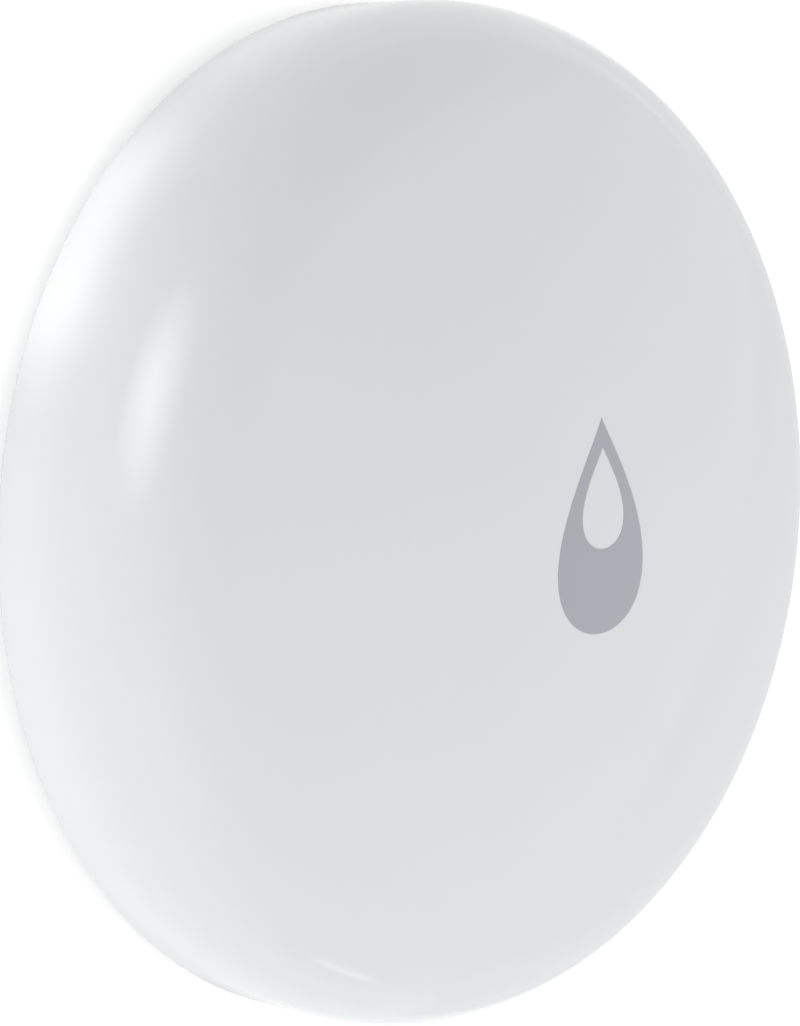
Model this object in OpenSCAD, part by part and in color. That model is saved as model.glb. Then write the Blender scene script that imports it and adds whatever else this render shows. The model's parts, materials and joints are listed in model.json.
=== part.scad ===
// Round water leak sensor that lies on four low feet, with two water probes underneath.
// Millimetres. The origin is on the floor under the centre, +Z points up through the face that is pressed,
// and +Y is the way the tip of the drop on the face points.

/* [Cover] */
// Outside diameter of the cover
cover_d = 50; // [45:0.5:60]
// Height of the crown above the floor
cover_h = 15; // [13.5:0.25:20]
// Wall thickness of the cover
cover_wall = 1.6; // [1.2:0.1:2]
// Radius of the rounded shoulder
shoulder_r = 7.48; // [6:0.01:8.5]
// Height where the straight side turns into the shoulder
shoulder_z = 4.6; // [4.2:0.05:5.5]
// Height of the lower rim above the floor
rim_z = 0.8; // [0.5:0.05:1]
// Radius on the outer edge of the rim
rim_round = 0.3; // [0.2:0.05:0.5]
// How far the cover goes down when it is pressed
press_travel = 0.3; // [0.2:0.05:0.4]
// Diameter of the post that pushes the switch
press_post_d = 4.4; // [3:0.2:6]
// Length of that post below the crown's inside
press_post_l = 1.3; // [0.8:0.1:2]
// Thickness of the gussets beside the post
gusset_t = 0.8; // [0.5:0.1:1.2]
// Reach of the gussets from the centre
gusset_reach = 6; // [4:0.5:8]
// Depth of the gussets under the crown
gusset_depth = 0.7; // [0.4:0.1:0.9]
// Diameter of the thin spot above the indicator light
light_spot_d = 3.2; // [2:0.2:4]
// Wall left at the thin spot
light_skin = 0.7; // [0.4:0.1:1]

/* [Snaps and seal] */
// Number of snap teeth round the skirt
snap_count = 4; // [3:1:6]
// Reach of a snap tooth from the skirt
tooth_reach = 0.8; // [0.5:0.05:1]
// Height of a snap tooth
tooth_h = 0.8; // [0.6:0.1:1.2]
// Length of a snap tooth along the skirt
tooth_len = 5; // [3:0.5:8]
// Play of a tooth in its pocket
tooth_play = 0.3; // [0.2:0.05:0.5]
// Height of the silicone ring
seal_h = 0.9; // [0.7:0.1:1.2]
// Depth of the groove for the ring
seal_depth = 0.8; // [0.6:0.1:1]

/* [Rear case] */
// Gap between the skirt and the rear case
skirt_gap = 0.25; // [0.15:0.05:0.4]
// Thickness of the floor
floor_t = 1.6; // [1.2:0.1:2.2]
// Thickness of the side wall
case_wall = 2.1; // [1.8:0.1:2.4]
// Height of the side wall's lip above the shoulder's start
lip_rise = 0.95; // [0.6:0.05:1]
// Height of the lip above the seal groove
lip_h = 0.7; // [0.5:0.05:1]
// Chamfer on the outer edges
edge_chamfer = 0.4; // [0.2:0.05:0.6]
// Height of the feet
foot_h = 0.4; // [0.3:0.05:0.8]
// Diameter of a foot
foot_d = 3.2; // [2:0.2:4]
// Distance of a foot's centre from the rim of the case
foot_inset = 2.75; // [2.2:0.05:4]
// Diameter of the board bosses
boss_d = 4.4; // [3.6:0.2:5]
// Diameter of the screw holes in the board bosses
pilot_d = 1.6; // [1.2:0.1:1.8]
// How far the board bosses sink into the wall round the door's opening
boss_sink = 0.4; // [0.2:0.1:0.8]
// Thickness of the ribs
rib_t = 1; // [0.7:0.1:1.4]
// Height of the ribs on the floor
rib_h = 1; // [0.6:0.1:1.4]

/* [Battery and contacts] */
// Diameter of the coin cell
cell_d = 20; // [18:0.25:20.5]
// Thickness of the coin cell
cell_h = 3.2; // [2:0.1:3.4]
// Thickness of the cell's sheet steel
cell_sheet = 0.3; // [0.2:0.05:0.4]
// Room round the cell for its contacts
cell_room = 0.75; // [0.65:0.05:0.9]
// Thickness of the contact strips
contact_t = 0.2; // [0.15:0.05:0.25]
// Width of the contact strips
contact_w = 3.6; // [2.5:0.1:4]
// How far the side contacts bow in to touch the cell
contact_bow = 0.15; // [0.1:0.05:0.2]
// Length of the feet that hold the side contacts to the board
contact_foot = 2.2; // [1.5:0.1:3]
// Width of the gasket between the cell's can and cap
gasket_w = 0.75; // [0.5:0.05:1]

/* [Battery door] */
// Thickness of the door's plate
door_t = 1.8; // [1.6:0.1:2.2]
// How far the door lies above the underside
door_recess = 0.1; // [0:0.05:0.3]
// Radial gap between the door and its opening
door_gap = 0.25; // [0.15:0.05:0.4]
// Wall of the door's neck
neck_wall = 1; // [0.8:0.1:1.4]
// Reach of the bayonet lugs from the neck
lug_reach = 1; // [0.8:0.1:1.4]
// How far the door's plate reaches past the lugs
door_step = 0.4; // [0.3:0.05:0.8]
// Height of the bayonet lugs
lug_h = 0.9; // [0.7:0.1:1.2]
// Arc of a bayonet lug in degrees
lug_arc = 24; // [16:1:28]
// Number of bayonet lugs
lug_count = 3; // [2:1:3]
// Turn from locked to open in degrees
door_turn = 40; // [36:1:50]
// Thickness of the flange that the lugs hold
flange_t = 1; // [0.8:0.1:1.4]
// Wall round the door's opening
bore_wall = 1.2; // [0.9:0.1:1.5]
// Thickness of the O-ring
o_ring_d = 0.9; // [0.7:0.05:1]
// Length of the coin slot
coin_slot_l = 14; // [10:0.5:18]
// Width of the coin slot
coin_slot_w = 2.2; // [1.6:0.1:3]
// Depth of the coin slot at its middle
coin_slot_depth = 1; // [0.6:0.1:1.1]

/* [Circuit board] */
// Thickness of the board
board_t = 1; // [0.6:0.1:1.6]
// Distance of the board's edge from the rear case's outer face
board_inset = 1.7; // [1.4:0.1:2.2]
// Diameter of the notches in the board's edge
board_notch_d = 2; // [1:0.2:3]
// Gap between the cell and the board
board_lift = 1.1; // [0.8:0.1:1.4]
// Diameter of a board screw's head
screw_head_d = 3.4; // [2.8:0.1:4]
// Height of a board screw's head
screw_head_h = 1; // [0.7:0.1:1.4]
// Length of a board screw under its head
screw_l = 4; // [3:0.25:4.5]

/* [Switch] */
// Side of the switch
switch_w = 6.2; // [4.5:0.1:7]
// Reach of the plunger above the switch
plunger_reach = 0.8; // [0.5:0.1:1]
// Diameter of the plunger
plunger_d = 3.4; // [2.4:0.1:3.6]
// Reach of the collar that keeps the plunger in
collar_reach = 0.6; // [0.4:0.1:0.8]
// Thickness of that collar
collar_t = 0.5; // [0.3:0.1:0.6]
// Thickness of the metal frame
frame_t = 0.3; // [0.2:0.05:0.4]
// Thickness of the snap dome
snap_dome_t = 0.1; // [0.08:0.02:0.15]
// Width of a leg
leg_w = 0.7; // [0.5:0.1:1]
// Length of a leg's foot on the board
leg_foot = 1.4; // [0.8:0.1:2]

/* [Probes] */
// Diameter of a probe screw's head
probe_head_d = 4.5; // [4:0.1:4.8]
// Height of a probe screw's head
probe_head_h = 1.1; // [0.9:0.1:1.4]
// Height of the probes above the floor
probe_lift = 0.15; // [0.1:0.05:0.3]
// Diameter of a probe screw's shank
probe_shank_d = 2; // [1.6:0.1:2.4]
// Thickness of a probe seal
probe_seal_t = 0.7; // [0.5:0.1:1]
// Wall of the boss round a probe
probe_boss_wall = 0.6; // [0.5:0.05:0.8]
// Distance between a probe's well and the wall round the door's opening
probe_spacing = 0.3; // [0.2:0.05:0.5]
// Depth of the probe screw's tip below the board
probe_tip_drop = 0.6; // [0.4:0.1:1]
// Thickness of the boss above a probe seal
probe_seat_t = 2.2; // [1.6:0.1:2.4]
// Width across the corners of the brass posts on the board
post_d = 3.9; // [3.4:0.1:4.2]
// Diameter of the pin that a post sends through the board
post_pin_d = 1.8; // [1.2:0.1:2]
// Height of the post's pin above the board
post_pin_rise = 0.3; // [0.1:0.1:0.6]

/* [Board parts] */
// Distance of the indicator light from the centre
led_y = 7.5; // [6:0.25:9]
// Length of the indicator light
led_l = 1.6; // [1:0.1:2]
// Height of the indicator light
led_h = 0.65; // [0.4:0.05:1]
// Side of the radio chip
chip_w = 5; // [4:0.5:6]
// Height of the radio chip
chip_h = 0.85; // [0.6:0.05:1]
// Terminals on each side of the radio chip
chip_pins = 8; // [6:1:10]
// Distance of the radio chip from the centre along X and Y
chip_at = 8.5; // [7.5:0.25:9]
// Length of the crystal
crystal_l = 3.2; // [2:0.1:3.4]
// Width of the crystal
crystal_w = 2.5; // [1.6:0.1:2.6]
// Height of the crystal
crystal_h = 0.75; // [0.5:0.05:1]
// Length of a capacitor or resistor
passive_l = 1.6; // [1:0.1:2]
// Spacing in a row of capacitors or resistors
passive_pitch = 2; // [1.6:0.1:2.4]
// Number in a row of capacitors or resistors
passive_count = 4; // [2:1:5]
// Width of the antenna's copper line
trace_w = 0.8; // [0.5:0.1:1]
// Gap between the folds of the antenna
trace_gap = 2; // [1.4:0.1:2.2]
// Thickness of the antenna's copper line
trace_t = 0.1; // [0.05:0.05:0.15]
// Number of folds in the antenna
trace_folds = 4; // [2:1:4]
// Depth of the antenna's folds
trace_depth = 3.6; // [2.4:0.2:4]
// Distance of the antenna from the board's edge
trace_margin = 2; // [1.8:0.1:3]

/* [Hidden] */
$fn = 96;
// Small overrun that keeps cuts clear of the faces they open
over = 0.1;
// Gap between fixed pieces that fit into each other
fit_gap = 0.05;
// Gap between the cover's inside and the silicone ring
seal_gap = 0.1;
// Room round a screw or plunger that passes through a hole
pass_gap = 0.15;
// How far the line that parts the crown from the shoulder runs past both
blend_over = 1.77;
// Share of a screw's head that its driver recess takes
drive_share = 0.6;
// Share of the indicator light's length that its clear lens takes
lens_share = 0.7;

// Cover outline: the crown's arc is tangent to the shoulder's arc
cover_r = cover_d / 2;
shoulder_x = cover_r - shoulder_r;
shoulder_drop = shoulder_z - cover_h;
crown_r = (shoulder_r^2 - shoulder_x^2 - shoulder_drop^2) / (2 * (shoulder_drop + shoulder_r));
crown_z = cover_h - crown_r;
blend_angle = atan2(shoulder_z - crown_z, shoulder_x);
blend_reach = shoulder_r + blend_over;
blend_point = [shoulder_x + blend_reach * cos(blend_angle), shoulder_z + blend_reach * sin(blend_angle)];
inner_apex = cover_h - cover_wall;
skirt_in_r = cover_r - cover_wall;
// Highest point of the thin spot's pocket: the skin is measured where the crown is lowest
light_far = led_y + light_spot_d / 2;
light_top_z = crown_z + sqrt(crown_r^2 - light_far^2) - light_skin;

// Rear case levels and radii
// Chamfer at the mouths of the openings in the underside and on the door's edge
mouth = edge_chamfer / 2;
under_z = foot_h;
floor_z = under_z + floor_t;
case_r = skirt_in_r - skirt_gap;
case_in_r = case_r - case_wall;
lip_z = shoulder_z + lip_rise;
groove_z1 = lip_z - lip_h;
groove_z0 = groove_z1 - seal_h;
groove_r = case_r - seal_depth;
pocket_z1 = groove_z0 - edge_chamfer;
tooth_z1 = pocket_z1 - fit_gap;
tooth_z0 = tooth_z1 - tooth_h;
tooth_r = skirt_in_r - tooth_reach;
pocket_z0 = tooth_z0 - press_travel - tooth_play / 2;
pocket_r = tooth_r - tooth_play;
first_snap = 45;
boss_angles = [30, 150, 270];
probe_angles = [0, 180];
rib_angles = [60, 90, 120, 240, 300];
contact_angles = [90, 270];
board_notch_angles = [210, 330];

// Battery door levels and radii
door_z0 = under_z + door_recess;
door_z1 = door_z0 + door_t;
flange_z0 = door_z1 + fit_gap;
flange_z1 = flange_z0 + flange_t;
lug_z0 = flange_z1 + fit_gap;
neck_z1 = lug_z0 + lug_h;
neck_in_r = cell_d / 2 + cell_room;
neck_r = neck_in_r + neck_wall;
lug_r = neck_r + lug_reach;
door_r = lug_r + door_step;
bore_r = door_r + door_gap;
flange_in_r = neck_r + door_gap;
notch_r = lug_r + door_gap;
tower_r = bore_r + bore_wall;
boss_ring = tower_r + boss_d / 2 - boss_sink;
o_groove_h = o_ring_d + 2 * fit_gap;
o_groove_z0 = (door_z0 + door_z1 - o_groove_h) / 2;
o_groove_r = bore_r - o_ring_d - 2 * fit_gap;
first_lug = 90;
stop_arc = 6;
lug_play = 2;
notch_play = 1.5;
coin_r = (coin_slot_l^2 / 4 + coin_slot_depth^2) / (2 * coin_slot_depth);

// Cell and board levels
cell_z0 = door_z1 + 3 * fit_gap;
cell_z1 = cell_z0 + cell_h;
board_z0 = cell_z1 + board_lift;
board_z1 = board_z0 + board_t;
board_r = case_r - board_inset;
pilot_z0 = board_z1 - screw_l - 2 * fit_gap;

// Radii and heights that the cell's three pieces share
crimp_z = cell_z1 - cell_sheet;
cup_in_r = cell_d / 2 - cell_sheet;
cap_r = cup_in_r - gasket_w;
cup_floor_z = cell_z0 + cell_sheet + fit_gap / 2;

// Switch levels: the switch fills the room between the board and the cover's post
post_end_z = inner_apex - press_post_l;
plunger_z1 = post_end_z - fit_gap;
frame_z1 = plunger_z1 - plunger_reach;
frame_z0 = frame_z1 - frame_t;
switch_case_h = frame_z1 - board_z1;
collar_z1 = frame_z0 - fit_gap;
collar_z0 = collar_z1 - collar_t;
snap_dome_rise = press_travel + snap_dome_t;
snap_dome_z1 = collar_z0 - fit_gap;
well_z0 = snap_dome_z1 - snap_dome_rise;
collar_r = plunger_d / 2 + collar_reach;
well_r = collar_r + pass_gap;

// Probe levels and radii
probe_head_z1 = probe_lift + probe_head_h;
probe_seat_z = probe_head_z1 + probe_seal_t;
probe_post_z0 = probe_seat_z + probe_seat_t;
probe_well_r = probe_head_d / 2 + skirt_gap;
probe_boss_r = probe_well_r + probe_boss_wall;
probe_ring = tower_r + probe_spacing + probe_well_r;
probe_hole_r = probe_shank_d / 2 + pass_gap;
probe_tip_z = board_z0 - probe_tip_drop;

// Board parts
led_w = led_l / 2;
passive_w = passive_l / 2;
trace_pitch = trace_w + trace_gap;
trace_y = board_r - trace_margin - trace_depth;

// Repeats its children at each angle, at a distance from the centre
module at_angles(angles, distance = 0) {
    for (angle = angles)
        rotate(angle) translate([distance, 0, 0]) children();
}

// Angles of a number of places spread evenly round the centre
function spread(count, first) = [for (i = [0:count - 1]) first + i * 360 / count];

// Degrees that a length covers at a radius
function arc_of(length, radius) = length / radius * 180 / PI;

// Part of a ring, centred on the X axis, from an outline of radius and height
module ring_part(degrees) {
    rotate(-degrees / 2) rotate_extrude(angle = degrees) children();
}

// Disc between two heights
module disc(r, z0, z1) {
    translate([0, 0, z0]) cylinder(r = r, h = z1 - z0);
}

// Box centred in X and Y between two heights
module block(x, y, z0, z1) {
    translate([-x / 2, -y / 2, z0]) cube([x, y, z1 - z0]);
}

// Strip of sheet metal: an outline in X and Z, given a width along Y
module strip(points, width) {
    rotate([90, 0, 0]) linear_extrude(width, center = true) polygon(points);
}

// Cross-shaped driver recess, cut downwards from the origin into the top of a screw's head
module driver_cross(head_d, head_h) {
    size = head_d * drive_share;
    depth = head_h * drive_share;
    block(size, size / 4, -depth, over);
    block(size / 4, size, -depth, over);
}

// Half outline of the cover's outer skin, moved inwards, from a lower edge up
module skin_outline(inset, lower) {
    intersection() {
        translate([0, crown_z]) circle(r = crown_r - inset, $fn = 720);
        polygon([[0, shoulder_z], [shoulder_x, shoulder_z], blend_point, [0, cover_h + 1]]);
    }
    intersection() {
        translate([shoulder_x, shoulder_z]) circle(r = shoulder_r - inset);
        polygon([[shoulder_x, shoulder_z], [cover_d, shoulder_z], [cover_d, 2 * cover_h], blend_point]);
    }
    translate([0, lower]) square([cover_r - inset, shoulder_z - lower]);
}

// Corner that the rounded rim takes away from the outline
module rim_corner() {
    difference() {
        translate([cover_r - rim_round, rim_z - over]) square(rim_round + over);
        translate([cover_r - rim_round, rim_z + rim_round]) circle(r = rim_round);
        translate([cover_r - rim_round, rim_z + rim_round]) square(rim_round + 2 * over);
    }
}

module front_cover() {
    color("#eef0f1") difference() {
        union() {
            rotate_extrude() difference() {
                skin_outline(0, rim_z);
                skin_outline(cover_wall, rim_z - over);
                rim_corner();
            }
            disc(press_post_d / 2, post_end_z, inner_apex + cover_wall / 2);
            at_angles(spread(4, first_snap)) translate([0, -gusset_t / 2, inner_apex - gusset_depth])
                cube([gusset_reach, gusset_t, gusset_depth + cover_wall / 2]);
            at_angles(spread(snap_count, first_snap)) ring_part(arc_of(tooth_len, skirt_in_r))
                polygon([
                    [tooth_r, tooth_z1], [skirt_in_r + cover_wall / 2, tooth_z1],
                    [skirt_in_r + cover_wall / 2, tooth_z0], [skirt_in_r, tooth_z0],
                    [tooth_r, tooth_z0 + tooth_h / 2]
                ]);
        }
        translate([0, -led_y, 0]) disc(light_spot_d / 2, frame_z1, light_top_z);
    }
}

module rear_outline() {
    polygon([
        [bore_r + mouth, under_z], [case_r - edge_chamfer, under_z], [case_r, under_z + edge_chamfer],
        [case_r, lip_z - edge_chamfer], [case_r - edge_chamfer, lip_z],
        [case_in_r, lip_z], [case_in_r, floor_z], [tower_r, floor_z],
        [tower_r, flange_z1], [flange_in_r, flange_z1], [flange_in_r, flange_z0], [bore_r, flange_z0],
        [bore_r, under_z + mouth]
    ]);
}

// Moulded foot with a broken lower edge
module foot() {
    edge = foot_h / 3;
    rotate_extrude() polygon([
        [0, 0], [foot_d / 2 - edge, 0], [foot_d / 2, edge], [foot_d / 2, under_z + over], [0, under_z + over]
    ]);
}

// Well for a probe screw's head, with a chamfered mouth
module probe_well() {
    disc(probe_well_r, 0, probe_seat_z);
    translate([0, 0, under_z - over])
        cylinder(r1 = probe_well_r + mouth + over, r2 = probe_well_r, h = mouth + over);
}

// Stops on the flange that end the door's turn, one pair for each lug
module door_stops() {
    reach = (lug_arc + stop_arc) / 2 + lug_play;
    at_angles(spread(lug_count, first_lug))
        for (middle = [reach, -door_turn - reach])
            rotate(middle) ring_part(stop_arc)
                translate([flange_in_r + fit_gap, flange_z1 - over])
                    square([notch_r - flange_in_r, lug_h + over]);
}

module rear_case() {
    color("#e6e8ea") difference() {
        union() {
            rotate_extrude() rear_outline();
            door_stops();
            at_angles(boss_angles, boss_ring) disc(boss_d / 2, floor_z - over, board_z0);
            at_angles(boss_angles, boss_ring) translate([0, -rib_t / 2, floor_z - over])
                cube([case_in_r - boss_ring + over, rib_t, lip_z - floor_z - edge_chamfer]);
            at_angles(rib_angles, tower_r - over) translate([0, -rib_t / 2, floor_z - over])
                cube([case_in_r - tower_r + 2 * over, rib_t, rib_h + over]);
            at_angles(probe_angles, probe_ring) disc(probe_boss_r, under_z, probe_post_z0);
            at_angles(spread(4, first_snap), case_r - foot_inset) foot();
        }
        rotate_extrude() translate([groove_r, groove_z0]) square([seal_depth + over, seal_h]);
        at_angles(boss_angles, boss_ring) disc(pilot_d / 2, pilot_z0, board_z0 + over);
        at_angles(probe_angles, probe_ring) probe_well();
        at_angles(probe_angles, probe_ring) disc(probe_hole_r, 0, probe_post_z0 + over);
        at_angles(probe_angles, probe_ring) disc(post_d / 2 + pass_gap, probe_post_z0, lip_z + over);
        at_angles(spread(lug_count, first_lug - door_turn)) ring_part(lug_arc + 2 * notch_play)
            translate([flange_in_r - over, flange_z0 - over])
                square([notch_r - flange_in_r + over, flange_t + 2 * over]);
        at_angles(spread(snap_count, first_snap)) ring_part(arc_of(tooth_len + 2 * tooth_play, skirt_in_r))
            translate([pocket_r, pocket_z0]) square([case_r - pocket_r + over, pocket_z1 - pocket_z0]);
    }
}

module case_seal() {
    ring_h = seal_h - 2 * fit_gap;
    ring_out = skirt_in_r - seal_gap;
    lip_x = ring_out - ring_h / 2;
    middle = (groove_z0 + groove_z1) / 2;
    color("#9a9c9e") rotate_extrude() {
        translate([groove_r + fit_gap, groove_z0 + fit_gap]) square([lip_x - groove_r - fit_gap, ring_h]);
        intersection() {
            translate([lip_x, middle]) circle(d = ring_h);
            translate([lip_x, groove_z0]) square([ring_h, seal_h]);
        }
    }
}

module battery_door() {
    color("#e9ebec") difference() {
        union() {
            rotate_extrude() polygon([
                [0, door_z0], [door_r - mouth, door_z0], [door_r, door_z0 + mouth],
                [door_r, o_groove_z0], [o_groove_r, o_groove_z0],
                [o_groove_r, o_groove_z0 + o_groove_h], [door_r, o_groove_z0 + o_groove_h],
                [door_r, door_z1], [neck_r, door_z1], [neck_r, neck_z1],
                [neck_in_r, neck_z1], [neck_in_r, door_z1], [0, door_z1]
            ]);
            at_angles(spread(lug_count, first_lug)) ring_part(lug_arc)
                translate([neck_r - neck_wall / 2, lug_z0]) square([lug_r - neck_r + neck_wall / 2, lug_h]);
        }
        translate([0, 0, door_z0 + coin_slot_depth - coin_r]) rotate([90, 0, 0])
            cylinder(r = coin_r, h = coin_slot_w, center = true, $fn = 360);
    }
}

module door_o_ring() {
    color("#2c2d2f") translate([0, 0, o_groove_z0 + o_groove_h / 2]) rotate_extrude()
        translate([bore_r - fit_gap - o_ring_d / 2, 0]) circle(d = o_ring_d, $fn = 32);
}

module cell_can() {
    crimp_in = cap_r + gasket_w / 2;
    color("#b9bcbf") rotate_extrude() polygon([
        [0, cell_z0], [cup_in_r, cell_z0], [cell_d / 2, cell_z0 + cell_sheet],
        [cell_d / 2, crimp_z - cell_sheet], [cup_in_r, crimp_z], [crimp_in, crimp_z],
        [crimp_in, crimp_z - cell_sheet], [cup_in_r, crimp_z - cell_sheet],
        [cup_in_r, cell_z0 + cell_sheet], [0, cell_z0 + cell_sheet]
    ]);
}

module cell_gasket() {
    inner = cap_r + fit_gap / 2;
    outer = cup_in_r - fit_gap / 2;
    lip = cap_r + gasket_w / 2 - fit_gap;
    shelf = crimp_z - cell_sheet - fit_gap / 2;
    color("#3a3c40") rotate_extrude() polygon([
        [inner, cup_floor_z], [outer, cup_floor_z], [outer, shelf],
        [lip, shelf], [lip, crimp_z], [inner, crimp_z]
    ]);
}

module cell_cap() {
    color("#c6c9cb") rotate_extrude() polygon([
        [0, cup_floor_z], [cap_r, cup_floor_z], [cap_r, crimp_z],
        [cap_r - cell_sheet, cell_z1], [0, cell_z1]
    ]);
}

module positive_contacts() {
    near = cell_d / 2 + fit_gap;
    far = near + contact_bow;
    touch_z = (cell_z0 + cell_z1) / 2;
    bend = cell_h / 8;
    tip_z = cell_z0 + cell_h / 4;
    foot_x = far + contact_t + contact_foot;
    leg = [[far, board_z0], [far, cell_z1], [near, touch_z + bend], [near, touch_z - bend], [far, tip_z]];
    back = [for (i = [len(leg) - 1:-1:1]) leg[i] + [contact_t, 0]];
    foot = [[far + contact_t, board_z0 - contact_t], [foot_x, board_z0 - contact_t], [foot_x, board_z0]];
    color("#d8c98f") at_angles(contact_angles) strip(concat(leg, back, foot), contact_w);
}

module negative_contact() {
    foot_z = board_z0 - contact_t;
    tip_z = cell_z1 + board_lift / 2;
    foot_x = cap_r - gasket_w;
    bend_x = foot_x / 2;
    pad_x = 4 * contact_t;
    end_x = bend_x / 2;
    leaf = [[-foot_x, foot_z], [-bend_x, foot_z], [-pad_x, cell_z1], [pad_x, cell_z1], [end_x, tip_z]];
    raised = [for (i = [len(leaf) - 1:-1:0]) leaf[i] + [0, contact_t]];
    color("#d8c98f") strip(concat(leaf, raised), contact_w);
}

module circuit_board() {
    color("#1f6f46") difference() {
        disc(board_r, board_z0, board_z1);
        at_angles(boss_angles, boss_ring) disc(pilot_d / 2 + pass_gap, board_z0 - over, board_z1 + over);
        at_angles(probe_angles, probe_ring)
            disc(post_pin_d / 2 + fit_gap, board_z0 - over, board_z1 + over);
        at_angles(board_notch_angles, board_r) disc(board_notch_d / 2, board_z0 - over, board_z1 + over);
    }
}

module board_screws() {
    color("#a8abae") at_angles(boss_angles, boss_ring) difference() {
        union() {
            disc(screw_head_d / 2, board_z1, board_z1 + screw_head_h);
            disc(pilot_d / 2 - fit_gap, board_z1 - screw_l, board_z1 + screw_head_h / 2);
        }
        translate([0, 0, board_z1 + screw_head_h]) driver_cross(screw_head_d, screw_head_h);
    }
}

module switch_base() {
    color("#26272a") difference() {
        block(switch_w, switch_w, board_z1, frame_z0);
        disc(well_r, well_z0, frame_z0 + over);
    }
}

module switch_frame() {
    tab_w = switch_w / 2;
    tab_l = switch_case_h / 2;
    color("#c3c6c9") difference() {
        union() {
            block(switch_w, switch_w, frame_z0, frame_z1);
            block(tab_w, switch_w + 2 * contact_t, frame_z1 - tab_l, frame_z1);
        }
        block(tab_w + 2 * over, switch_w, board_z1, frame_z0);
        disc(plunger_d / 2 + pass_gap, frame_z0 - over, frame_z1 + over);
    }
}

module switch_dome() {
    rim_r = collar_r;
    outer_r = (rim_r^2 + snap_dome_rise^2) / (2 * snap_dome_rise);
    color("#d3d6d8") rotate_extrude() intersection() {
        translate([0, snap_dome_z1 - outer_r]) difference() {
            circle(r = outer_r, $fn = 360);
            circle(r = outer_r - snap_dome_t, $fn = 360);
        }
        translate([0, well_z0]) square([rim_r, snap_dome_rise + over]);
    }
}

module switch_plunger() {
    color("#323336") union() {
        disc(collar_r, collar_z0, collar_z1);
        disc(plunger_d / 2, collar_z0, plunger_z1);
    }
}

module switch_legs() {
    side = switch_w / 2;
    foot_x = side + leg_foot;
    rise = switch_case_h / 3;
    sheet = contact_t;
    color("#cfd2d4") for (y = [-1, 1], turn = [0, 180])
        rotate(turn) translate([0, y * switch_w / 3, 0]) strip([
            [side, board_z1], [foot_x, board_z1], [foot_x, board_z1 + sheet],
            [side + sheet, board_z1 + sheet], [side + sheet, board_z1 + rise], [side, board_z1 + rise]
        ], leg_w);
}

module indicator_led() {
    color("#f3f1d8") translate([0, -led_y, 0]) union() {
        block(led_l, led_w, board_z1, board_z1 + led_h / 2);
        block(led_l * lens_share, led_w, board_z1, board_z1 + led_h);
    }
}

module radio_chip() {
    pitch = chip_w / (chip_pins + 1);
    color("#2b2c2f") translate([-chip_at, -chip_at, 0]) difference() {
        union() {
            block(chip_w, chip_w, board_z1, board_z1 + chip_h);
            for (turn = [0:90:270], i = [1:chip_pins])
                rotate(turn) translate([(chip_w - pitch) / 2, i * pitch - chip_w / 2 - pitch / 4, board_z1])
                    cube([pitch / 2 + 2 * fit_gap, pitch / 2, chip_h / 4]);
        }
        translate([pitch - chip_w / 2, chip_w / 2 - pitch, board_z1])
            disc(pitch / 2, chip_h - over, chip_h + over);
    }
}

module crystal() {
    rim = crystal_l / 12;
    color("#c9ccd0") translate([chip_at, -chip_at, 0]) union() {
        block(crystal_l, crystal_w, board_z1, board_z1 + crystal_h / 2);
        block(crystal_l - 2 * rim, crystal_w - 2 * rim, board_z1, board_z1 + crystal_h);
    }
}

// One chip capacitor or resistor with its two soldered ends, standing on the board
module passive(height) {
    end_l = passive_l / 5;
    block(passive_l - end_l, passive_w - 2 * fit_gap, board_z1, board_z1 + height - fit_gap);
    for (x = [-1, 1])
        translate([x * (passive_l - end_l) / 2, 0, 0]) block(end_l, passive_w, board_z1, board_z1 + height);
}

// Places in a row of small parts, centred on its middle
function row_places(count) = [for (i = [0:count - 1]) (i - (count - 1) / 2) * passive_pitch];

module chip_capacitors() {
    color("#b89968") for (y = row_places(passive_count))
        translate([-chip_at - chip_w / 2, y, 0]) passive(passive_w);
}

module chip_resistors() {
    color("#3b3d41") for (y = row_places(passive_count))
        translate([chip_at + chip_w / 2, y, 0]) passive(passive_w / 2);
}

module antenna_trace() {
    width = trace_folds * trace_pitch;
    color("#c88a4a") translate([-width / 2, trace_y, board_z1]) linear_extrude(trace_t) {
        for (i = [0:trace_folds])
            translate([i * trace_pitch - trace_w / 2, 0]) square([trace_w, trace_depth]);
        for (i = [0:trace_folds - 1])
            translate([i * trace_pitch - trace_w / 2, (i % 2) * (trace_depth - trace_w)])
                square([trace_pitch + trace_w, trace_w]);
    }
}

module probe_screws() {
    dome = probe_head_h / 4;
    color("#b4b7ba") at_angles(probe_angles, probe_ring) difference() {
        union() {
            translate([0, 0, probe_lift])
                cylinder(r1 = probe_head_d / 2 - dome, r2 = probe_head_d / 2, h = dome);
            disc(probe_head_d / 2, probe_lift + dome, probe_head_z1);
            disc(probe_shank_d / 2, probe_head_z1 - over, probe_tip_z);
        }
        translate([0, 0, probe_lift]) mirror([0, 0, 1]) driver_cross(probe_head_d, probe_head_h);
    }
}

module probe_seals() {
    color("#2f3032") at_angles(probe_angles, probe_ring) difference() {
        disc(probe_head_d / 2, probe_head_z1, probe_seat_z);
        disc(probe_shank_d / 2 + fit_gap, probe_head_z1 - over, probe_seat_z + over);
    }
}

module probe_posts() {
    color("#c9a24a") at_angles(probe_angles, probe_ring) difference() {
        union() {
            disc(post_d / 2, probe_post_z0, board_z0, $fn = 6);
            disc(post_pin_d / 2, board_z0 - over, board_z1 + post_pin_rise);
        }
        disc(probe_shank_d / 2 + fit_gap, probe_post_z0 - over, probe_tip_z + 2 * fit_gap);
    }
}

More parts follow.
